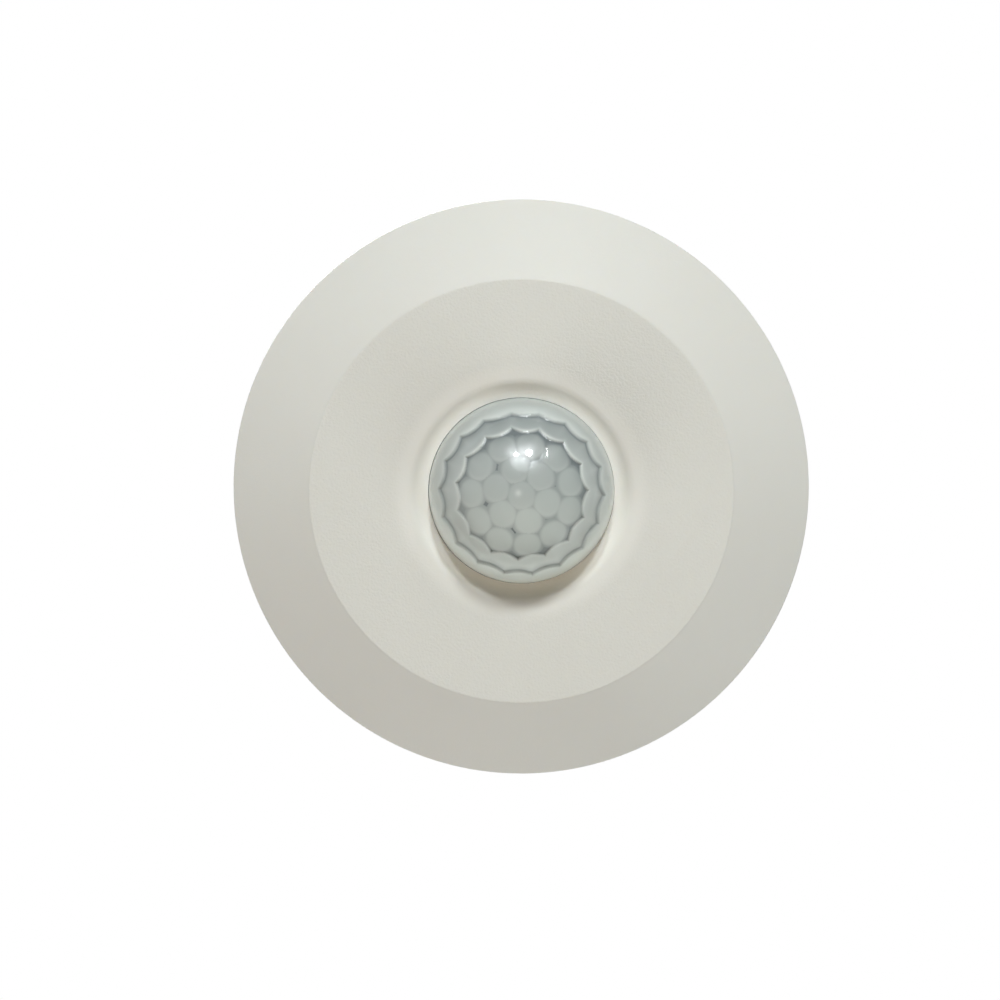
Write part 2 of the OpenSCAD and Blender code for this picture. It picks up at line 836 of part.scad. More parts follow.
bezel();
lens();
lens_retainer();
front_body();
housing();
body_screws();
terminal_cover();
cover_screws();
cable_clamp();
clamp_screws();
clip_arm(-1);  // clip_arm_left
clip_arm(1);  // clip_arm_right
clip_pad(-1);  // clip_pad_left
clip_pad(1);  // clip_pad_right
clip_pin(-1);  // clip_pin_left
clip_pin(1);  // clip_pin_right
clip_spring(-1);  // clip_spring_left
clip_spring(1);  // clip_spring_right
sensor_board();
pir_holder();
pir_header();
pir_can();
pir_window();
indicator_led();
light_cell();
trimmer_bodies();
knob(knob_angles[0]);  // time_knob
knob(knob_angles[1]);  // lux_knob
knob(knob_angles[2]);  // range_knob
controller_chip();
board_resistors();
sensor_lead();
lead_sockets();
power_board();
board_screws();
relay();
dropper_capacitor();
smoothing_capacitors();
choke();
fuse();
varistor();
rectifier_diodes();
terminal_block();
terminal_cages();
terminal_screws();
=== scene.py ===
"""Looks and studio for the ceiling motion sensor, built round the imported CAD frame.

The lens looks down along -Z and the barrel stands up along +Z. The trim, the dome lens and the two
torsion springs are modelled here; the other CAD nodes keep their shape and get their materials here.
Lengths are in metres.
"""

import math

import bpy
import numpy as np
from mathutils import Matrix, Vector


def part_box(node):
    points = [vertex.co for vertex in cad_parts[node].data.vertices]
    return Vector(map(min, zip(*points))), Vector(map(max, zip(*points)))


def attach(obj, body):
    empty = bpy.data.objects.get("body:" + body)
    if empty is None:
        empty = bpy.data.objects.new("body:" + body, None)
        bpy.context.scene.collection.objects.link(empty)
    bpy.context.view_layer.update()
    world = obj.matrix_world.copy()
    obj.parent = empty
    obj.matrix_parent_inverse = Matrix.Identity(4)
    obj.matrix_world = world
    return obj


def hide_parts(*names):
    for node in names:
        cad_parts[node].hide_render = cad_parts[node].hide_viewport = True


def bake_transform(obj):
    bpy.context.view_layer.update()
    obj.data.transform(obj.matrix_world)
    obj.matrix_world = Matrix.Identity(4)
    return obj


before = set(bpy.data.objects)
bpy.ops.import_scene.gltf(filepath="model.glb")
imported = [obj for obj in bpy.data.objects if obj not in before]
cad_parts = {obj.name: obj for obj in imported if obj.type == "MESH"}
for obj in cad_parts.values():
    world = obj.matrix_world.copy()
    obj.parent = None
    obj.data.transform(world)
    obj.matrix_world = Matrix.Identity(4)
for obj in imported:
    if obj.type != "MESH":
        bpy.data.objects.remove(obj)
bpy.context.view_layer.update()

MM = 0.001
TAU = 2 * math.pi


def lerp(a, b, t):
    """a where t is 0, b where t is 1."""
    return a + (b - a) * t


# --- Sizes taken from the frame -----------------------------------------------------------------

trim_lo, trim_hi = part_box("bezel")
lens_lo, lens_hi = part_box("lens")
body_lo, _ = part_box("front_body")

TRIM_R = trim_hi.x
TRIM_TOP = trim_hi.z
DISC_Z = trim_lo.z
APEX_Z = lens_lo.z

# --- Mesh helpers -------------------------------------------------------------------------------


def new_object(name, verts, faces, material):
    """A smooth-shaded mesh object in the scene."""
    mesh = bpy.data.meshes.new(name)
    mesh.from_pydata([tuple(v) for v in verts], [], faces)
    mesh.validate()
    mesh.update()
    mesh.shade_smooth()
    obj = bpy.data.objects.new(name, mesh)
    bpy.context.scene.collection.objects.link(obj)
    mesh.materials.append(material)
    return obj


def grid_faces(rows, cols, close_rows=False):
    """Quads between rows of equal length, wrapped round the columns and, if asked, round the rows."""
    faces = []
    for i in range(rows if close_rows else rows - 1):
        j = (i + 1) % rows
        for k in range(cols):
            m = (k + 1) % cols
            faces.append((i * cols + k, i * cols + m, j * cols + m, j * cols + k))
    return faces


def arc(cx, cz, r, start, end, steps):
    """Points of an arc from start to end degrees, both included."""
    return [
        (cx + r * math.cos(math.radians(a)), cz + r * math.sin(math.radians(a)))
        for a in np.linspace(start, end, steps + 1)
    ]


def add_attribute(obj, name, values):
    """Stores one number a vertex, for a material to read."""
    layer = obj.data.attributes.new(name, "FLOAT", "POINT")
    layer.data.foreach_set("value", np.asarray(values, np.float32))


# --- Material helpers ---------------------------------------------------------------------------


class Nodes:
    """A material's node tree with short calls to add and join nodes."""

    def __init__(self, name):
        self.material = bpy.data.materials.new(name)
        self.material.use_nodes = True
        self.tree = self.material.node_tree
        self.shader = self.tree.nodes["Principled BSDF"]

    def node(self, kind, **inputs):
        """A new node with values or links on its inputs; _ stands for a space in their names."""
        n = self.tree.nodes.new(kind)
        for key, value in inputs.items():
            self.put(n, key.replace("_", " "), value)
        return n

    def put(self, n, key, value):
        """Sets an input, by name or number, to a value or to another node's output."""
        socket = n.inputs[int(key) if key.isdigit() else key]
        if isinstance(value, bpy.types.NodeSocket):
            self.tree.links.new(value, socket)
        else:
            socket.default_value = value

    def set(self, **inputs):
        """Sets inputs of the material's own shader."""
        for key, value in inputs.items():
            self.put(self.shader, key.replace("_", " "), value)

    def place(self):
        """Position on the object, in metres."""
        return self.node("ShaderNodeTexCoord").outputs["Object"]

    def attribute(self, name):
        n = self.node("ShaderNodeAttribute")
        n.attribute_name = name
        return n.outputs["Fac"]

    def math(self, operation, a, b=0.0):
        n = self.node("ShaderNodeMath")
        n.operation = operation
        self.put(n, "0", a)
        self.put(n, "1", b)
        return n.outputs[0]

    def remap(self, value, low, high, to_low=0.0, to_high=1.0):
        """Smooth step from to_low at low to to_high at high."""
        n = self.node("ShaderNodeMapRange", Value=value)
        n.interpolation_type = "SMOOTHSTEP"
        self.put(n, "From Min", low)
        self.put(n, "From Max", high)
        self.put(n, "To Min", to_low)
        self.put(n, "To Max", to_high)
        return n.outputs[0]

    def noise(self, size, detail=3.0, rough=0.5, stretch=(1, 1, 1)):
        """Noise whose blobs are about size metres across."""
        scaled = self.node("ShaderNodeMapping", Vector=self.place())
        self.put(scaled, "Scale", tuple(s / size for s in stretch))
        n = self.node("ShaderNodeTexNoise", Vector=scaled.outputs[0], Scale=1.0)
        self.put(n, "Detail", detail)
        self.put(n, "Roughness", rough)
        return n.outputs["Fac"]

    def mix(self, fac, a, b):
        """Colour a where fac is 0, b where it is 1."""
        n = self.node("ShaderNodeMix")
        n.data_type = "RGBA"
        for key, value in (("Factor", fac), ("A", a), ("B", b)):
            for socket in n.inputs:
                if socket.name == key and socket.enabled:
                    if isinstance(value, bpy.types.NodeSocket):
                        self.tree.links.new(value, socket)
                    else:
                        socket.default_value = value if key == "Factor" else (*value, 1.0)
        return next(s for s in n.outputs if s.enabled)

    def bump(self, height, depth, normal=None):
        """Surface direction for a relief that is depth metres deep."""
        n = self.node("ShaderNodeBump", Strength=1.0, Distance=depth, Height=height)
        if normal:
            self.put(n, "Normal", normal)
        return n.outputs[0]

    def rounded(self, radius):
        """Surface direction with the edges softened to a radius."""
        n = self.node("ShaderNodeBevel", Radius=radius)
        n.samples = 6
        return n.outputs[0]


def shade(colour, k):
    """The colour made k times as bright."""
    return tuple(min(1.0, c * k) for c in colour)


MOULDED_EDGE = 0.2 * MM
METAL_EDGE = 0.1 * MM


def moulded(name, colour, roughness=0.5, grain=0.12 * MM, depth=0.006 * MM, coat=0.0):
    """Moulded plastic: fine erosion grain, faint flow marks and softly rounded edges."""
    m = Nodes(name)
    flow = m.noise(9 * MM, detail=2.0)
    fine = m.noise(grain, detail=2.0)
    m.set(
        Base_Color=m.mix(flow, shade(colour, 0.96), shade(colour, 1.03)),
        Roughness=m.remap(fine, 0.3, 0.7, roughness - 0.07, roughness + 0.07),
        Coat_Weight=coat,
        Normal=m.bump(fine, depth, m.rounded(MOULDED_EDGE)),
    )
    return m.material


def metal(name, colour, roughness=0.3, stretch=(1, 1, 1), size=0.25 * MM):
    """Plated or brushed metal: streaks along one axis, cloudy plating and small pits."""
    m = Nodes(name)
    cloud = m.noise(2.5 * MM, detail=4.0)
    streak = m.noise(size, detail=4.0, rough=0.6, stretch=stretch)
    m.set(
        Base_Color=m.mix(cloud, shade(colour, 0.86), shade(colour, 1.08)),
        Metallic=1.0,
        Roughness=m.remap(streak, 0.25, 0.75, roughness - 0.1, roughness + 0.14),
        Normal=m.bump(streak, 0.004 * MM, m.rounded(METAL_EDGE)),
    )
    return m.material


# --- Trim ---------------------------------------------------------------------------------------

WALL = 1.8 * MM
CREASE_R = 28.55 * MM
RIM_EDGE = TRIM_TOP - 1.0 * MM

# The recess: the disc dips a little from just outside the mouth, turns over a lip to its steepest tilt, and
# dishes to its edge beside the dome; behind the edge a throat runs up to just short of the front body
MOUTH_R = 15.3 * MM
DIP_R, DIP_TILT = 27 * MM, math.radians(4)
LIP_R, LIP_TILT = 2.0 * MM, math.radians(34.5)
DISH_R = 4.2 * MM
EDGE_R = 12.535 * MM
THROAT_R = 12.75 * MM
THROAT_Z = body_lo.z - 0.3 * MM
THROAT_WALL = 1.4 * MM
THROAT_FOOT = 1.2 * MM

# The inside: a slotted skirt with ribs that grip the front body's boss, room for its flange, and the rim
BOSS_R = 27.6 * MM
SKIRT_IN = BOSS_R + 0.35 * MM
SKIRT_OUT = SKIRT_IN + 1.2 * MM
SKIRT_TOP = -2.5 * MM
FLANGE_Z = -2.2 * MM
FLANGE_FIT = 0.3 * MM
RIM_WIDTH = 2.3 * MM
SLOT_N = 6
SLOT_HALF = 1.2 * MM
SLOT_SILL = 1.2 * MM
RIB_HALF = 0.6 * MM
RIB_GAP = 0.05 * MM

# How far the trim sits off the axis
PLAY = (-0.018 * MM, -0.018 * MM)
COLUMNS_ROUND = 360


def corner(a, b, c, r, steps):
    """Points that round the corner b between a and c to radius r."""
    a, b, c = Vector(a), Vector(b), Vector(c)
    u, v = (a - b).normalized(), (c - b).normalized()
    half = u.angle(v) / 2
    reach = r / math.tan(half)
    centre = b + (u + v).normalized() * (r / math.sin(half))
    start, end = b + u * reach - centre, b + v * reach - centre
    turn = -start.angle_signed(end)
    points = []
    for i in range(steps + 1):
        t = turn * i / steps
        x = start.x * math.cos(t) - start.y * math.sin(t)
        y = start.x * math.sin(t) + start.y * math.cos(t)
        points.append((centre.x + x, centre.y + y))
    return points


def tilt_arc(start, r, tilt_from, tilt_to, steps):
    """Arc that starts at a point and turns from one tilt to another; a negative radius makes it hollow."""
    points = []
    for i in range(1, steps + 1):
        t = lerp(tilt_from, tilt_to, i / steps)
        x = start[0] + r * (math.sin(tilt_from) - math.sin(t))
        points.append((x, start[1] + r * (math.cos(tilt_from) - math.cos(t))))
    return points


def recess_profile():
    """From the flat disc over the lip and down the dish to the lens."""
    start = (MOUTH_R + DIP_R * math.sin(DIP_TILT), DISC_Z)
    dip = [start] + tilt_arc(start, DIP_R, 0, DIP_TILT, 8)
    lip = tilt_arc(dip[-1], LIP_R, DIP_TILT, LIP_TILT, 16)
    end_tilt = math.asin(math.sin(LIP_TILT) - (lip[-1][0] - EDGE_R) / DISH_R)
    return dip + lip + tilt_arc(lip[-1], -DISH_R, LIP_TILT, end_tilt, 16)


def rounded(corners, before, after):
    """Outline through (point, radius) corners, with the points just before and after it given."""
    stops = [before] + [p for p, _ in corners] + [after]
    out = []
    for i, (p, r) in enumerate(corners):
        out += corner(stops[i], p, stops[i + 2], r, 8 if r > 0.3 * MM else 3)
    return out


def trim_profile(slot, rib):
    """Half section of the trim, from the rim over the bevel, the disc and the recess, and back inside. Each
    corner stands with its radius."""
    bevel_run = (TRIM_R - CREASE_R) / (RIM_EDGE - DISC_Z)
    bevel_wall = WALL * math.sqrt(1 + bevel_run**2)
    back = DISC_Z + WALL
    inner = BOSS_R + RIB_GAP if rib else SKIRT_IN
    skirt_top = back + SLOT_SILL if slot else SKIRT_TOP
    skirt_foot = DISC_Z + (SKIRT_OUT + bevel_wall - CREASE_R) / bevel_run
    flange_in = CREASE_R + (FLANGE_Z - DISC_Z) * bevel_run - bevel_wall + FLANGE_FIT
    rim_in = TRIM_R - RIM_WIDTH
    throat_out = THROAT_R + THROAT_WALL
    front = [
        ((rim_in, TRIM_TOP), 0.1 * MM),
        ((TRIM_R, TRIM_TOP), 0.15 * MM),
        ((TRIM_R, RIM_EDGE), 0.35 * MM),
        ((CREASE_R, DISC_Z), 0.5 * MM),
    ]
    behind = [
        ((THROAT_R, THROAT_Z), 0.15 * MM),
        ((throat_out, THROAT_Z), 0.2 * MM),
        ((throat_out + THROAT_FOOT, back), 0.5 * MM),
        ((inner, back), 0.1 * MM),
        ((inner, skirt_top), 0.1 * MM),
        ((SKIRT_OUT, skirt_top), 0.1 * MM),
        ((SKIRT_OUT, skirt_foot), 0.1 * MM),
        ((flange_in, FLANGE_Z), 0.2 * MM),
        ((rim_in, RIM_EDGE), 0.1 * MM),
    ]
    recess = recess_profile()
    outside = rounded(front, behind[-1][0], recess[0])
    inside = rounded(behind, recess[-1], front[0][0])
    return outside + recess + inside


def trim_columns():
    """(angle, slot, rib) of each column: even steps, with two columns at each side of a slot or rib."""
    pitch = TAU / SLOT_N
    slot_half, rib_half = SLOT_HALF / SKIRT_IN, RIB_HALF / SKIRT_IN
    out = []
    for i in range(SLOT_N):
        start = i * pitch
        stops = [
            (start, start + rib_half, False, True),
            (start + rib_half, start + pitch / 2 - slot_half, False, False),
            (start + pitch / 2 - slot_half, start + pitch / 2 + slot_half, True, False),
            (start + pitch / 2 + slot_half, start + pitch - rib_half, False, False),
            (start + pitch - rib_half, start + pitch, False, True),
        ]
        for k, (a, b, slot, rib) in enumerate(stops):
            n = max(2, round((b - a) / TAU * COLUMNS_ROUND))
            last = n if k == len(stops) - 1 else n + 1
            out += [(lerp(a, b, j / n), slot, rib) for j in range(last)]
    return out


def trim_colour(m, place, radius, on_disc):
    """Warm white, a little darker where the disc is eroded; down the recess painted paler for light from
    the lens, and painted browner towards +Y where the lens's shadow falls.
    """
    flow = m.noise(14 * MM, detail=2.0)
    polished = m.mix(flow, (0.806, 0.799, 0.738), (0.828, 0.822, 0.763))
    eroded = m.mix(flow, (0.740, 0.735, 0.676), (0.758, 0.755, 0.699))
    # Painted light: the recess paler than the bevel, as if lit by light through the lens
    pale = m.mix(flow, (0.955, 0.945, 0.875), (0.965, 0.955, 0.890))
    # Painted shadow: browner towards +Y, where the lens's shadow falls
    recess = m.mix(m.remap(place["Y"], 7 * MM, 12 * MM), pale, (0.955, 0.905, 0.790))
    # Where the painted recess tones show: the dish, fading out at the mouth
    dish = m.remap(radius, EDGE_R - 0.2 * MM, MOUTH_R, 1.0, 0.0)
    return m.mix(dish, m.mix(on_disc, polished, eroded), recess)


def trim_material():
    """Warm white plastic: satin bevel, a slightly darker disc with eroded grain, and a recess with painted
    light near the lens and a painted brown shadow towards +Y.
    """
    m = Nodes("trim_plastic")
    place = m.node("ShaderNodeSeparateXYZ", Vector=m.place()).outputs
    x_squared = m.math("MULTIPLY", place["X"], place["X"])
    y_squared = m.math("MULTIPLY", place["Y"], place["Y"])
    radius = m.math("SQRT", m.math("ADD", x_squared, y_squared))
    inside = m.remap(radius, CREASE_R - 0.2 * MM, CREASE_R + 0.3 * MM, 1.0, 0.0)
    on_disc = m.math("MULTIPLY", inside, m.remap(radius, MOUTH_R + 0.2 * MM, MOUTH_R + 2.6 * MM))
    grain = m.noise(0.34 * MM, detail=2.5, rough=0.6)
    satin = m.noise(0.12 * MM, detail=2.0)
    graininess = m.math("ADD", m.math("MULTIPLY", on_disc, 0.8), 0.2)
    height = m.math("ADD", m.math("MULTIPLY", grain, graininess), m.math("MULTIPLY", satin, 0.12))
    m.set(
        Base_Color=trim_colour(m, place, radius, on_disc),
        Roughness=m.math("ADD", 0.42, m.math("MULTIPLY", on_disc, 0.16)),
        Subsurface_Weight=0.12,
        Subsurface_Radius=(1.0, 0.8, 0.55),
        Subsurface_Scale=0.8 * MM,
        Normal=m.bump(height, 0.09 * MM),
    )
    return m.material


def make_trim():
    """The trim as one closed moulding, moved off the axis by its play."""
    columns = trim_columns()
    rows = [trim_profile(slot, rib) for _, slot, rib in columns]
    verts = [
        (r * math.cos(a) + PLAY[0], r * math.sin(a) + PLAY[1], z)
        for (a, _, _), row in zip(columns, rows)
        for r, z in row
    ]
    faces = grid_faces(len(rows), len(rows[0]), close_rows=True)
    obj = new_object("trim_moulding", verts, faces, trim_material())
    obj.data.set_sharp_from_angle(angle=math.radians(38))
    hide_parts("bezel")
    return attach(obj, "trim")


# --- Lens ---------------------------------------------------------------------------------------

LENS_R = 12.65 * MM
LENS_WALL = 0.9 * MM
LENS_INNER = LENS_R - LENS_WALL
DOME_Z = APEX_Z + LENS_R
FLANGE_R = lens_hi.x
FLANGE_LOW = lens_hi.z - 0.8 * MM
LENS_COLS, LENS_ROWS, INNER_ROWS = 576, 128, 40

# The facets, with places in lens radii from the axis and turns in degrees. From the outer band the face
# steps down at one scalloped edge to a ring, and at a second one to the middle cells. Near -Y, over
# DIP_TURN radians, the outer edge lies further in.
BAND_CUSP, BAND_LOBE, BAND_COUNT, BAND_FIRST = 0.885, 0.842, 18, -7.7
RING_CUSP, RING_LOBE, RING_COUNT, RING_FIRST = 0.712, 0.662, 15, -8.7
DIP_TURN, DIP_CUSP, DIP_LOBE = 0.52, 0.040, 0.012
EDGE = 0.012
CELL_R = 0.192
BAND_STEP = 0.40 * MM
RING_STEP = 0.40 * MM
RING_RISE = 0.10 * MM
CELL_HEIGHT = 0.22 * MM
CELL_RINGS = ((6, 17.0, -14.4), (11, 33.5, -22.8))

# A painted highlight: a bright dot near the apex, its direction and size in lens radii
APEX_GLINT = (-0.036, 0.025, 1.0)
APEX_GLINT_SIZE = 0.035

# The facets fade out towards the dome's widest ring
FADE_FROM, FADE_WIDTH = 0.97, 0.03


def scallop(turn, count, first, cusp, lobe):
    """(distance from the axis in lens radii, 1 in the lobe's middle and 0 at its cusps) of a scalloped edge
    whose lobes bulge towards the axis. first is where one cusp stands, in degrees clockwise from -Y, seen
    from below."""
    u = np.mod(np.degrees(turn) - first, 360 / count) * count / 360
    mid = 1 - (2 * u - 1) ** 2
    return lerp(cusp, lobe, mid), mid


def soft(x, width):
    """0 below 0, 1 above width, smooth between."""
    t = np.clip(x / width, 0, 1)
    return t * t * (3 - 2 * t)


def hump(x, middle, width):
    """1 where x is middle, falling off smoothly on both sides."""
    return np.exp(-(((x - middle) / width) ** 2))


def cell_centres():
    """Unit vectors of the middle cells: one at the apex, then rings given by count, tilt and first turn."""
    out = [(0.0, 0.0, 1.0)]
    for count, tilt, first in CELL_RINGS:
        for i in range(count):
            a, t = math.radians(first + 360 * i / count), math.radians(tilt)
            out.append((math.sin(t) * math.sin(a), math.sin(t) * math.cos(a), math.cos(t)))
    return np.array(out)


class Facets:
    """The facets at points of the dome, given by tilt from the apex and turn clockwise from -Y, seen from
    below. Light comes from -Y, where top is 1; it is 0 at +Y."""

    def __init__(self, tilt, turn):
        self.turn = turn
        self.s = np.sin(tilt)
        self.top = 0.5 + 0.5 * np.cos(turn)
        self.high = soft(self.top - 0.35, 0.65)
        self.place_edges()
        self.place_cells(tilt)

    def place_edges(self):
        """The outer and the inner scalloped edge; the outer one comes further in near -Y."""
        dip = np.exp(-((np.arccos(np.cos(self.turn)) / DIP_TURN) ** 2))
        cusp, lobe = BAND_CUSP - DIP_CUSP * dip, BAND_LOBE - DIP_LOBE * dip
        self.band, self.band_mid = scallop(self.turn, BAND_COUNT, BAND_FIRST, cusp, lobe)
        self.ring, self.ring_mid = scallop(self.turn, RING_COUNT, RING_FIRST, RING_CUSP, RING_LOBE)
        self.on_band = soft(self.s - self.band, EDGE)
        on_ring = soft(self.s - self.ring, EDGE)
        self.in_ring = on_ring * (1 - self.on_band)
        self.inside = 1 - on_ring
        self.along = np.clip((self.s - self.ring) / (self.band - self.ring), 0, 1)

    def place_cells(self, tilt):
        """The nearest middle cell: its number, how far off its centre is and in which direction."""
        centres = cell_centres()
        self.where = np.stack([self.s * np.sin(self.turn), self.s * np.cos(self.turn), np.cos(tilt)], -1)
        gaps = np.linalg.norm(self.where[..., None, :] - centres, axis=-1)
        self.gap, self.nearest = np.min(gaps, axis=-1), np.argmin(gaps, axis=-1)
        self.away = (self.where - centres[self.nearest]) / (self.gap[..., None] + 1e-9)
        self.crown = np.clip(1 - (self.gap / CELL_R) ** 2, -0.05, 1)

    def depth(self):
        """How far the facets lie below the smooth dome, in metres."""
        ring = RING_RISE + (BAND_STEP - RING_RISE) * self.along
        middle = RING_RISE + RING_STEP - CELL_HEIGHT * self.crown
        return lerp(middle, ring, 1 - self.inside) * (1 - self.on_band)

    def painted_shade_and_tone(self):
        """Painted shade, 0 to 1: under the scalloped edges and towards the ring's outer edge, stronger on
        the lit -Y side, between the middle cells and in the gaps where three meet; with a random tone for
        each cell.
        """
        width = lerp(0.035, 0.06, self.top)
        under_ring = np.exp(-np.clip(self.ring - self.s, 0, 1) / width) * self.inside
        under_band = np.exp(-np.clip(self.band - self.s, 0, 1) / width) * self.in_ring
        between = soft(0.60 - self.crown, 0.45) * self.inside
        hole = soft(0.04 - self.crown, 0.09) * self.inside * lerp(1, 0.3, soft(self.s - 0.5, 0.1))
        tone = 0.5 + 0.5 * np.sin(7.3 * self.nearest + 1.0)
        painted_shade_and_tone = (
            lerp(0.12, 0.72, self.high) * under_ring
            + lerp(0.42, 0.55, self.high) * under_band
            + lerp(0.10, 0.32, self.high) * self.along * self.in_ring
            + 0.40 * between
            + 0.60 * hole
            + 0.09 * tone * self.inside
        )
        return np.clip(painted_shade_and_tone, 0, 1)

    def painted_highlight(self):
        """Painted highlights, 0 to 1: the facets' rims and faces as lit from -Y, the ring lighter at the
        sides and below, a lighter left side, and a bright dot near the apex.
        """
        lit = lerp(0.25, 1.0, soft(self.top - 0.35, 0.6))
        cell_rim = hump(self.gap / CELL_R, 0.80, 0.13) * np.clip(-self.away[..., 1], 0, 1) * self.inside
        ring_rim = hump(self.s, self.ring + EDGE, 0.020) * self.in_ring * lit * lerp(0.35, 1, self.ring_mid)
        band_rim = hump(self.s, self.band + EDGE, 0.030) * self.on_band * lit * lerp(0.35, 1, self.band_mid)
        band_face = hump(self.s, BAND_CUSP, 0.035) * self.on_band * soft(self.top - 0.4, 0.6)
        apex_glint = hump(np.linalg.norm(self.where - APEX_GLINT, axis=-1), 0, APEX_GLINT_SIZE)
        side = 4 * self.top * (1 - self.top)
        ring_face = lerp(0.16, 0.50, side) * soft(1 - self.top, 0.3) * (1 - 0.9 * self.along)
        left = np.clip(-1.6 * self.s * np.sin(self.turn), 0, 1) * self.inside
        painted_highlight = 0.28 * cell_rim + 0.8 * ring_rim + 0.6 * band_rim + 0.20 * band_face + 0.7 * apex_glint
        return np.clip(painted_highlight + ring_face * self.in_ring + 0.14 * left, 0, 1)


def milk_colour(m):
    """Milky, painted darker and bluer towards -Y, with the facets' painted shade at their borders and
    painted highlights on their edges.
    """
    along_y = m.node("ShaderNodeSeparateXYZ", Vector=m.place()).outputs["Y"]
    # Painted shade and light: darker and bluer towards -Y, paler towards +Y, as light passing through the
    # dome would make it
    lit_side = m.remap(along_y, 0.8 * LENS_R, -0.4 * LENS_R)
    haze = m.noise(3 * MM, detail=3.0)
    low = m.mix(haze, (0.665, 0.720, 0.665), (0.695, 0.750, 0.695))
    high = m.mix(haze, (0.47, 0.515, 0.495), (0.495, 0.54, 0.52))
    # Painted shade at the facets' borders, then painted highlights on their edges
    shaded = m.mix(m.attribute("facet_painted_shade_and_tone"), m.mix(lit_side, low, high), (0.19, 0.22, 0.225))
    return m.mix(m.attribute("facet_painted_highlight"), shaded, (0.76, 0.80, 0.76))


def smooth_outward(m):
    """Direction outwards from the dome's centre, whatever the facets do."""
    offset = m.node("ShaderNodeVectorMath", **{"0": m.place(), "1": (0.0, 0.0, DOME_Z)})
    offset.operation = "SUBTRACT"
    outward = m.node("ShaderNodeVectorMath", **{"0": offset.outputs[0]})
    outward.operation = "NORMALIZE"
    return outward.outputs[0]


def lens_material():
    """Milky plastic whose gloss runs smoothly over the facets, which show half as deep in the body."""
    m = Nodes("milky_lens")
    outward = smooth_outward(m)
    facet = m.node("ShaderNodeNewGeometry").outputs["Normal"]
    eased = m.node("ShaderNodeVectorMath", **{"0": facet, "1": outward})
    eased.operation = "ADD"
    speck = m.noise(0.25 * MM, detail=2.0)
    m.set(
        Base_Color=milk_colour(m),
        Roughness=m.remap(speck, 0.3, 0.7, 0.28, 0.38),
        Subsurface_Weight=0.25,
        Subsurface_Radius=(0.8, 1.0, 0.9),
        Subsurface_Scale=0.5 * MM,
        Coat_Weight=1.0,
        Coat_Roughness=0.07,
        Coat_Normal=m.bump(m.noise(1.1 * MM, detail=2.0), 0.008 * MM, outward),
        Normal=eased.outputs[0],
    )
    return m.material


def lens_outer(radius, tilt, turn):
    """Points of the outer face, from near the apex to the dome's widest ring."""
    across, down = radius * np.sin(tilt), radius * np.cos(tilt)
    return np.stack([across * np.sin(turn), -across * np.cos(turn), DOME_Z - down], -1)


def lens_behind(turn):
    """Rings of points over the flange and along the inner face to near the apex."""
    top = lens_hi.z
    flange = [(LENS_R, FLANGE_LOW), (FLANGE_R, FLANGE_LOW), (FLANGE_R, top), (LENS_INNER, top)]
    tilts = np.linspace(math.pi / 2, 0.02, INNER_ROWS)
    inner = [(LENS_INNER * math.sin(t), DOME_Z - LENS_INNER * math.cos(t)) for t in tilts]
    return np.array([[(r * math.sin(p), -r * math.cos(p), z) for p in turn] for r, z in flange + inner])


def lens_mesh(outer, behind, apex_depth):
    """Vertices and faces of the rings, closed at the apex on both sides."""
    layers = np.concatenate([outer, behind])
    verts = layers.reshape(-1, 3).tolist()
    faces = [tuple(reversed(f)) for f in grid_faces(len(layers), LENS_COLS)]
    apex, last = len(verts), (len(layers) - 1) * LENS_COLS
    verts.append((0, 0, DOME_Z - LENS_R + apex_depth))
    verts.append((0, 0, DOME_Z - LENS_INNER))
    faces += [(apex, (k + 1) % LENS_COLS, k) for k in range(LENS_COLS)]
    faces += [(apex + 1, last + k, last + (k + 1) % LENS_COLS) for k in range(LENS_COLS)]
    return verts, faces


def make_lens():
    """The dome with its facets as steps in the outer face, and its flange."""
    turns = np.arange(LENS_COLS) * TAU / LENS_COLS
    tilts = np.linspace(0.5, 90, LENS_ROWS) * math.pi / 180
    tilt, turn = np.meshgrid(tilts, turns, indexing="ij")
    facets = Facets(tilt, turn)
    depth = facets.depth()
    fade = 1 - soft(np.sin(tilt) - FADE_FROM, FADE_WIDTH)
    outer = lens_outer(LENS_R - depth * fade, tilt, turn)
    verts, faces = lens_mesh(outer, lens_behind(turns), float(depth[0, 0]))
    obj = new_object("dome_lens", verts, faces, lens_material())
    # The facets' painted shade and painted highlights, one value per vertex, for the lens material to read
    for name, values in (("facet_painted_shade_and_tone", facets.painted_shade_and_tone()), ("facet_painted_highlight", facets.painted_highlight())):
        spread = np.zeros(len(verts))
        spread[: LENS_ROWS * LENS_COLS] = (values * fade).reshape(-1)
        add_attribute(obj, name, spread)
    obj.data.set_sharp_from_angle(angle=math.radians(50))
    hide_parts("lens")
    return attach(obj, "root")


# --- Springs ------------------------------------------------------------------------------------

HINGE_X = 26.8 * MM
HINGE_Z = 23 * MM
ARM_ANGLE = math.radians(23)
STRIP_T = 1.0 * MM
WIRE_R = 0.35 * MM
COIL_R = 1.85 * MM
COIL_TURNS = 6
COIL_HALF = 2.6 * MM
COIL_STEPS = 40
WIRE_SIDES = 14
ANCHOR_X = 22.8 * MM
ANCHOR_Z = HINGE_Z - 7.5 * MM
LEG = 10 * MM
LEG_BEND = 0.8 * MM
LEG_GAP = 0.02 * MM


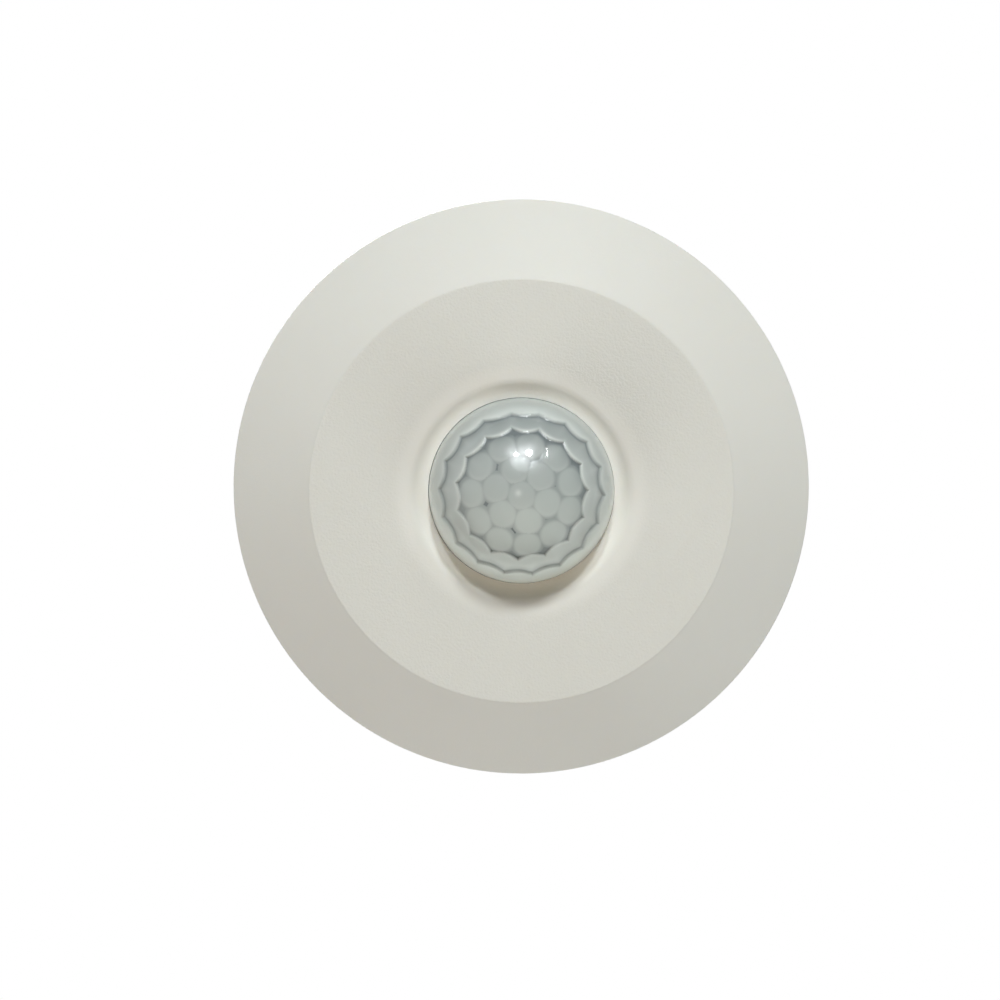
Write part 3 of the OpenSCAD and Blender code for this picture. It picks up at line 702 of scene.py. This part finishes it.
def spring_path():
    """Centre line of the right spring: anchored leg, coil, then the leg that bears on the arm."""
    leg_x = HINGE_X - COIL_R - LEG_BEND
    path = [(ANCHOR_X, -COIL_HALF, ANCHOR_Z), (leg_x, -COIL_HALF, ANCHOR_Z)]
    for x, z in arc(leg_x, ANCHOR_Z + LEG_BEND, LEG_BEND, 280, 360, 8):
        path.append((x, -COIL_HALF, z))
    turns = ARM_ANGLE - TAU * COIL_TURNS - math.pi
    steps = COIL_STEPS * COIL_TURNS
    for i in range(steps + 1):
        a = math.pi + turns * i / steps
        y = lerp(-COIL_HALF, COIL_HALF, i / steps)
        path.append((HINGE_X + COIL_R * math.cos(a), y, HINGE_Z + COIL_R * math.sin(a)))
    for s in np.linspace(0.2 * LEG, LEG, 5):
        n = lerp(COIL_R, STRIP_T / 2 + WIRE_R + LEG_GAP, s / LEG)
        x = HINGE_X + s * math.sin(ARM_ANGLE) + n * math.cos(ARM_ANGLE)
        path.append((x, COIL_HALF, HINGE_Z - s * math.cos(ARM_ANGLE) + n * math.sin(ARM_ANGLE)))
    return [Vector(p) for p in path]


def sweep(path, radius, sides):
    """A round wire along a path that stays nearly square to Y, with its ends closed."""
    verts = []
    for i, p in enumerate(path):
        along = (path[min(i + 1, len(path) - 1)] - path[max(i - 1, 0)]).normalized()
        u = (Vector((0, 1, 0)) - along * along.y).normalized()
        w = along.cross(u)
        for k in range(sides):
            a = TAU * k / sides
            verts.append(p + radius * (math.cos(a) * u + math.sin(a) * w))
    faces = grid_faces(len(path), sides)
    faces.append(tuple(range(sides - 1, -1, -1)))
    faces.append(tuple(len(verts) - sides + k for k in range(sides)))
    return verts, faces


def make_springs(material):
    """Both springs: the left one is the right one turned half way round."""
    verts, faces = sweep(spring_path(), WIRE_R, WIRE_SIDES)
    for side, sign in (("right", 1), ("left", -1)):
        placed = [(sign * v.x, sign * v.y, v.z) for v in verts]
        obj = new_object(f"coil_spring_{side}", placed, faces, material)
        obj.data.set_sharp_from_angle(angle=math.radians(50))
        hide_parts(f"clip_spring_{side}")
        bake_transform(obj)


# --- Materials of the carried-over nodes --------------------------------------------------------


def board_material():
    """Green solder mask over copper tracks, which show as raised lighter lines."""
    m = Nodes("circuit_board")
    place = m.node("ShaderNodeMapping", Vector=m.place())
    m.put(place, "Scale", (420, 420, 1))
    cells = m.node("ShaderNodeTexBrick", Vector=place.outputs[0], Scale=1.0)
    m.put(cells, "Mortar Size", 0.13)
    m.put(cells, "Mortar Smooth", 0.3)
    track = cells.outputs["Fac"]
    weave = m.noise(0.3 * MM, detail=2.0)
    m.set(
        Base_Color=m.mix(track, (0.012, 0.10, 0.05), (0.03, 0.20, 0.10)),
        Roughness=m.remap(weave, 0.3, 0.7, 0.24, 0.36),
        Coat_Weight=0.3,
        Normal=m.bump(m.math("ADD", track, m.math("MULTIPLY", weave, 0.15)), 0.03 * MM),
    )
    return m.material


def rubber_material():
    """Black rubber with a fine matt skin and grey rub marks."""
    m = Nodes("rubber_sleeve")
    fine = m.noise(0.09 * MM, detail=3.0)
    rub = m.noise(1.6 * MM, detail=4.0)
    m.set(
        Base_Color=m.mix(m.remap(rub, 0.5, 0.75), (0.018, 0.018, 0.020), (0.055, 0.055, 0.056)),
        Roughness=m.remap(rub, 0.35, 0.7, 0.86, 0.62),
        Normal=m.bump(fine, 0.012 * MM, m.rounded(0.25 * MM)),
    )
    return m.material


def node_materials():
    """The material of each carried-over CAD node."""
    white = (0.79, 0.78, 0.735)
    body = moulded("body_plastic", white, 0.48)
    cover = moulded("cover_plastic", shade(white, 0.97), 0.52, grain=0.2 * MM, depth=0.012 * MM)
    screw = metal("plated_steel", (0.66, 0.67, 0.69), 0.28)
    strip = metal("stamped_strip", (0.60, 0.61, 0.63), 0.27, stretch=(6, 0.5, 0.35))
    pin = metal("turned_pin", (0.62, 0.63, 0.65), 0.2, stretch=(1, 0.2, 1))
    sleeve = rubber_material()
    black = moulded("black_moulding", (0.022, 0.022, 0.025), 0.42)
    knob = moulded("knob_plastic", (0.72, 0.69, 0.60), 0.4)
    board = board_material()
    dipped = moulded("dipped_epoxy", (0.04, 0.15, 0.42), 0.3, grain=0.5 * MM, depth=0.03 * MM, coat=0.4)
    return {
        "housing": body,
        "front_body": body,
        "lens_retainer": body,
        "terminal_cover": cover,
        "cable_clamp": cover,
        "body_screws": screw,
        "cover_screws": screw,
        "clamp_screws": screw,
        "board_screws": screw,
        "terminal_screws": screw,
        "clip_arm_left": strip,
        "clip_arm_right": strip,
        "clip_pin_left": pin,
        "clip_pin_right": pin,
        "clip_pad_left": sleeve,
        "clip_pad_right": sleeve,
        "sensor_board": board,
        "power_board": board,
        "pir_holder": black,
        "controller_chip": black,
        "board_resistors": black,
        "rectifier_diodes": black,
        "pir_header": metal("gold_flash", (0.72, 0.56, 0.27), 0.25),
        "pir_can": metal("nickel_can", (0.68, 0.67, 0.64), 0.2, stretch=(1, 1, 0.2)),
        "pir_window": moulded("coated_window", (0.03, 0.022, 0.04), 0.12, coat=1.0),
        "indicator_led": moulded("tinted_epoxy", (0.50, 0.035, 0.03), 0.14, coat=1.0),
        "light_cell": moulded("cell_ceramic", (0.38, 0.17, 0.06), 0.35),
        "trimmer_bodies": moulded("trimmer_blue", (0.035, 0.11, 0.34), 0.38),
        "time_knob": knob,
        "lux_knob": knob,
        "range_knob": knob,
        "sensor_lead": moulded("ribbon_skin", (0.33, 0.34, 0.36), 0.45, grain=0.4 * MM, depth=0.02 * MM),
        "lead_sockets": moulded("socket_nylon", (0.76, 0.74, 0.66), 0.45),
        "relay": moulded("relay_case", (0.03, 0.11, 0.34), 0.35),
        "dropper_capacitor": moulded("epoxy_box", (0.66, 0.40, 0.04), 0.28, coat=0.4),
        "smoothing_capacitors": moulded("shrink_sleeve", (0.03, 0.035, 0.10), 0.25, coat=0.5),
        "choke": moulded("sintered_ferrite", (0.05, 0.045, 0.04), 0.6, grain=0.2 * MM, depth=0.02 * MM),
        "fuse": moulded("fuse_ceramic", (0.66, 0.61, 0.48), 0.3),
        "varistor": dipped,
        "terminal_block": moulded("terminal_polyamide", (0.76, 0.74, 0.65), 0.42),
        "terminal_cages": metal("plated_brass", (0.66, 0.50, 0.22), 0.3),
    }


def dress_nodes():
    """Gives the carried-over nodes their materials and smooth shading."""
    materials = node_materials()
    for name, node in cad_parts.items():
        if name not in materials:
            continue
        node.data.materials.clear()
        node.data.materials.append(materials[name])
        node.data.shade_smooth()
        node.data.set_sharp_from_angle(angle=math.radians(28))


# --- Studio -------------------------------------------------------------------------------------

# The camera: its tilt off the axis, the width in view at the rim, and where the axis stands in the picture,
# measured from the middle
VIEW_TILT = math.radians(3.5)
VIEW_WIDTH = 135.6 * MM
VIEW_DISTANCE = 1.0
AXIS_RIGHT = 2.89 * MM
AXIS_UP = 1.71 * MM
UP = Vector((0, -math.cos(VIEW_TILT), math.sin(VIEW_TILT)))
BACK = Vector((0, -math.sin(VIEW_TILT), -math.cos(VIEW_TILT)))
RIGHT = Vector((1, 0, 0))

LAMP_DISTANCE = 0.9
SPARK_DISTANCE = 0.6
FILL_DISTANCE, FILL_SIZE = 0.7, 0.4
SIDE_SIZE = 0.6
FLOOR_Z = -1.2
FLOOR_HALF = 8.0


def make_camera():
    """Below the sensor, a little towards -Y, with the sensor right of and above the frame's middle."""
    data = bpy.data.cameras.new("view")
    data.sensor_width = 36
    data.lens = data.sensor_width * VIEW_DISTANCE / VIEW_WIDTH
    data.clip_start, data.clip_end = 0.01, 50
    obj = bpy.data.objects.new("view", data)
    aim = Vector((0, 0, RIM_EDGE)) - RIGHT * AXIS_RIGHT - UP * AXIS_UP
    obj.location = aim + BACK * VIEW_DISTANCE
    obj.rotation_mode = "QUATERNION"
    obj.rotation_quaternion = (-BACK).to_track_quat("-Z", "Y")
    bpy.context.scene.collection.objects.link(obj)
    bpy.context.scene.camera = obj


def area_light(name, toward, distance, size, power, colour, shine=True, fill=True, upright=UP):
    """A lamp that shines on the dome from the direction toward, round or (wide, tall) with its tall side
    near upright; without shine it isn't reflected, and without fill it only makes reflections."""
    wide, tall = size if isinstance(size, tuple) else (size, size)
    data = bpy.data.lights.new(name, "AREA")
    data.shape = "ELLIPSE"
    data.size, data.size_y = wide, tall
    data.energy = power
    data.color = colour
    obj = bpy.data.objects.new(name, data)
    back = Vector(toward).normalized()
    side = upright.cross(back).normalized()
    obj.location = Vector((0, 0, DOME_Z)) + back * distance
    obj.rotation_mode = "QUATERNION"
    obj.rotation_quaternion = Matrix((side, back.cross(side), back)).transposed().to_quaternion()
    obj.visible_camera = False
    obj.visible_glossy = shine
    obj.visible_diffuse = fill
    bpy.context.scene.collection.objects.link(obj)


def view_direction(right, up, back):
    """Direction given by the picture's right and top, and by the way back to the camera."""
    return RIGHT * right + UP * up + BACK * back


def around_view(turn, rise):
    """Direction turned clockwise from the picture's top and raised from its plane towards the camera."""
    t, r = math.radians(turn), math.radians(rise)
    return view_direction(math.sin(t) * math.cos(r), math.cos(t) * math.cos(r), math.sin(r))


def make_back_sun():
    """A wide sun over the sensor's back; it doesn't reach the front."""
    data = bpy.data.lights.new("back_sun", "SUN")
    data.energy = 1.8
    data.angle = math.radians(30)
    obj = bpy.data.objects.new("back_sun", data)
    obj.rotation_mode = "QUATERNION"
    obj.rotation_quaternion = Vector((-0.3, -0.4, 0.85)).to_track_quat("Z", "Y")
    bpy.context.scene.collection.objects.link(obj)


def make_lights():
    """Two close lamps and a soft one towards -Y, haze and spark for the gloss, low fills from +Y, and two
    wide lamps and a sun behind the trim's plane."""
    cool = (0.93, 0.975, 1.0)
    pale = (0.95, 0.98, 1.0)
    far = LAMP_DISTANCE
    area_light("key_left", view_direction(-0.111, 0.705, 0.700), far, 0.085, 2.4, cool)
    area_light("key_right", view_direction(0.146, 0.730, 0.668), far, 0.12, 3.75, cool)
    area_light("key_soft", view_direction(0.02, 0.66, 0.75), far, 0.45, 0.30, cool)
    area_light("haze", view_direction(0.02, 0.60, 0.80), far, 0.45, 1.25, cool, fill=False)
    spark, slit = view_direction(0.480, 0.701, 0.527), (0.012, 0.15)
    lean = view_direction(-0.13, 0.71, -0.83)
    area_light("spark", spark, SPARK_DISTANCE, slit, 0.20, (1, 1, 1), upright=lean)
    for name, turn, rise, power, colour in (
        ("low_right", 135, 15, 1.67, (0.87, 0.95, 1.0)),
        ("low_left", 225, 15, 1.92, (0.94, 0.97, 1.0)),
        ("under", 180, 40, 0.35, (0.86, 0.955, 1.0)),
        ("front_warm", 180, 65, 0.50, (1.0, 0.60, 0.28)),
    ):
        area_light(name, around_view(turn, rise), FILL_DISTANCE, FILL_SIZE, power, colour, shine=False)
    area_light("side_right", around_view(135, -10), far, SIDE_SIZE, 0.5, pale)
    area_light("side_left", around_view(315, -18), far, SIDE_SIZE, 0.7, pale)
    make_back_sun()


def background(tree, colour, strength):
    """Even light from all round."""
    n = tree.nodes.new("ShaderNodeBackground")
    n.inputs["Color"].default_value = (*colour, 1)
    n.inputs["Strength"].default_value = strength
    return n.outputs[0]


def mix_backgrounds(tree, fac, a, b):
    """Background a where fac is 0, b where it is 1."""
    n = tree.nodes.new("ShaderNodeMixShader")
    for socket, value in zip(n.inputs, (fac, a, b)):
        tree.links.new(value, socket)
    return n.outputs[0]


def make_world():
    """White behind the sensor for the camera; for everything else a dim warm room with a bright ceiling."""
    world = bpy.data.worlds.new("room")
    world.use_nodes = True
    tree = world.node_tree
    tree.nodes.clear()
    place = tree.nodes.new("ShaderNodeTexCoord")
    split = tree.nodes.new("ShaderNodeSeparateXYZ")
    rise = tree.nodes.new("ShaderNodeMapRange")
    rise.interpolation_type = "SMOOTHSTEP"
    rise.inputs["From Min"].default_value = 0.1
    rise.inputs["From Max"].default_value = 0.7
    tree.links.new(place.outputs["Generated"], split.inputs[0])
    tree.links.new(split.outputs["Z"], rise.inputs["Value"])
    room = background(tree, (1.0, 0.88, 0.70), 0.045)
    ceiling = background(tree, (1.0, 0.99, 0.97), 0.5)
    white = background(tree, (1, 1, 1), 1.0)
    path = tree.nodes.new("ShaderNodeLightPath")
    around = mix_backgrounds(tree, rise.outputs[0], room, ceiling)
    seen = mix_backgrounds(tree, path.outputs["Is Camera Ray"], around, white)
    out = tree.nodes.new("ShaderNodeOutputWorld")
    tree.links.new(seen, out.inputs["Surface"])
    bpy.context.scene.world = world


def make_floor():
    """A wide pale floor well below the camera, which throws no light back on the sensor."""
    m = Nodes("pale_floor")
    cloud = m.noise(0.4, detail=3.0)
    m.set(Base_Color=m.mix(cloud, (0.80, 0.80, 0.79), (0.84, 0.84, 0.83)), Roughness=0.8)
    corners = ((-1, -1), (1, -1), (1, 1), (-1, 1))
    verts = [(x * FLOOR_HALF, y * FLOOR_HALF, FLOOR_Z) for x, y in corners]
    floor = new_object("floor", verts, [(0, 1, 2, 3)], m.material)
    floor.visible_diffuse = False
    floor.visible_glossy = False


def main():
    """Everything, in the order in which it is made."""
    make_trim()
    make_lens()
    dress_nodes()
    make_springs(metal("spring_wire", (0.55, 0.56, 0.58), 0.25, size=0.15 * MM))
    make_camera()
    make_lights()
    make_world()
    make_floor()
    bpy.context.scene.view_settings.view_transform = "Standard"


main()
